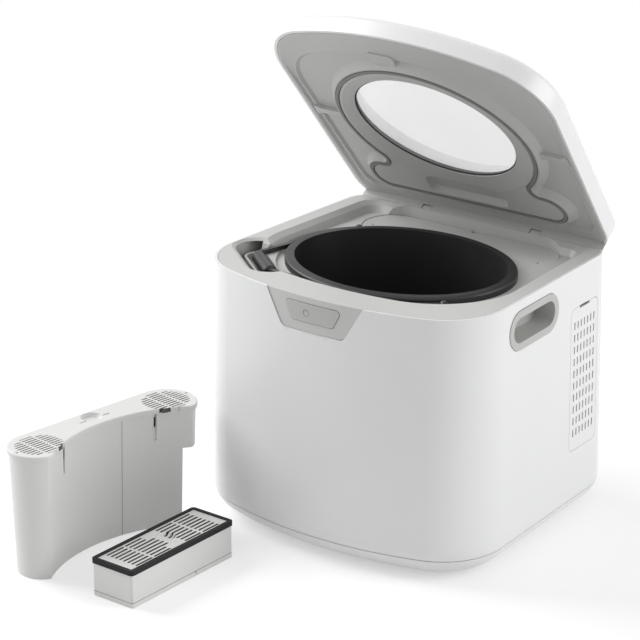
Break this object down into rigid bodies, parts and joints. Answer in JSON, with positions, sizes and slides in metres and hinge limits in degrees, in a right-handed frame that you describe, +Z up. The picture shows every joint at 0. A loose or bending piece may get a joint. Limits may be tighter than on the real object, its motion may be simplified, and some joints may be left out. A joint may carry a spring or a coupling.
{
  "type": "electric food waste composter",
  "caption": "Countertop food waste composter with a domed body, hinged lid with oval window, lift-out stirring bucket with bail, side filter dock, and its crescent and box filters.",
  "frame": {"origin": "on the worktop under the middle of the body's plan", "axes": "+Z up, front with the power button towards -Y, side filter dock towards +X"},
  "size_m": [0.4039, 0.5378, 0.5262],
  "materials": {
    "white_shell": "satin",
    "deck_grey": "satin",
    "apron_grey": "satin",
    "liner_grey": "matte",
    "window_clear": "clear",
    "soft_black": "matte",
    "bucket_coat": "non-stick coat",
    "blade_steel": "brushed",
    "bright_steel": "turned",
    "zinc_plate": "zinc plated",
    "heater_aluminium": "cast",
    "gear_nylon": "natural nylon",
    "motor_can": "plain",
    "bearing_bronze": "sintered",
    "board_green": "laminate",
    "dark_plastic": "matte",
    "handle_dark": "satin",
    "well_grey": "baked",
    "filter_white": "satin",
    "carbon_black": "granular"
  },
  "bodies": {
    "housing": {"outer_shell": "white_shell", "base_pan": "white_shell", "rubber_feet": "soft_black", "base_screws": "zinc_plate", "top_deck": "deck_grey", "hinge_pins": "bright_steel", "hand_hold_left": "apron_grey", "hand_hold_right": "apron_grey", "power_inlet": "dark_plastic", "control_board": "board_green", "power_switch": "dark_plastic", "bucket_well": "well_grey", "heater_plate": "heater_aluminium", "heater_element": "bright_steel", "chassis_plate": "zinc_plate", "plate_screws": "zinc_plate", "gear_motor": "motor_can", "plate_bearing": "bearing_bronze", "well_seal": "soft_black", "filter_well": "deck_grey", "filter_dock": "deck_grey", "fan_frame": "dark_plastic"},
    "lid": {"lid_shell": "white_shell", "lid_liner": "liner_grey", "lid_seal": "soft_black", "window_gasket": "soft_black", "lid_window": "window_clear"},
    "bucket": {"bucket": "bucket_coat", "bucket_bush": "bearing_bronze"},
    "stirrer": {"stirring_blade": "blade_steel"},
    "bail": {"bail_handle": "bright_steel", "bail_grip": "handle_dark"},
    "drive": {"drive_shaft": "bright_steel", "output_gear": "gear_nylon", "drive_dog": "bright_steel"},
    "pinion": {"motor_pinion": "bright_steel", "motor_shaft": "bright_steel"},
    "fan": {"fan_rotor": "dark_plastic"},
    "button": {"power_button": "apron_grey"},
    "dock_door": {"vent_cover": "white_shell"},
    "well_cover": {"filter_cover": "deck_grey"},
    "tank": {"tank_body": "filter_white", "tank_lid": "filter_white", "tank_carbon": "carbon_black"},
    "filter_box": {"box_base": "filter_white", "box_body": "filter_white", "box_gasket": "soft_black", "box_grille": "filter_white", "box_carbon": "carbon_black"}
  },
  "joints": [
    {"name": "lid_hinge", "type": "hinge", "parent": "housing", "child": "lid", "pos_m": [0, 0.147, 0.274], "axis": [-1, 0, 0], "range_deg": [-52, 33]},
    {"name": "bucket_lift", "type": "slide", "parent": "housing", "child": "bucket", "axis": [0, 0, 1], "range_m": [0, 0.035]},
    {"name": "bail_hinge", "type": "hinge", "parent": "bucket", "child": "bail", "pos_m": [0, -0.003, 0.2696], "axis": [-0.829, 0.5592, 0], "range_deg": [0, 75]},
    {"name": "drive_spin", "type": "hinge", "parent": "housing", "child": "drive", "pos_m": [0, -0.003, 0.1], "axis": [0, 0, 1], "continuous": true},
    {"name": "blade_spin", "type": "hinge", "parent": "bucket", "child": "stirrer", "pos_m": [0, -0.003, 0.16], "axis": [0, 0, 1], "continuous": true},
    {"name": "pinion_spin", "type": "hinge", "parent": "housing", "child": "pinion", "pos_m": [0.045, -0.003, 0.07], "axis": [0, 0, 1], "continuous": true},
    {"name": "fan_spin", "type": "hinge", "parent": "housing", "child": "fan", "pos_m": [0.109, 0.092, 0.1021], "axis": [1, 0, 0], "continuous": true},
    {"name": "button_press", "type": "slide", "parent": "housing", "child": "button", "axis": [0, 1, 0], "range_m": [0, 0.002], "stiffness_N_per_m": 400},
    {"name": "dock_door_pull", "type": "slide", "parent": "housing", "child": "dock_door", "axis": [1, 0, 0], "range_m": [0, 0.03]},
    {"name": "well_cover_lift", "type": "slide", "parent": "housing", "child": "well_cover", "axis": [0, 0, 1], "range_m": [0, 0.015]},
    {"name": "tank_lift", "type": "slide", "parent": "housing", "child": "tank", "axis": [0, 0, 1], "range_m": [0, 0.05]},
    {"name": "filter_box_lift", "type": "slide", "parent": "housing", "child": "filter_box", "axis": [0, 0, 1], "range_m": [0, 0.05]}
  ],
  "couplings": [
    {"joint": "blade_spin", "follows": "drive_spin", "ratio": 1},
    {"joint": "pinion_spin", "follows": "drive_spin", "ratio": -4}
  ]
}
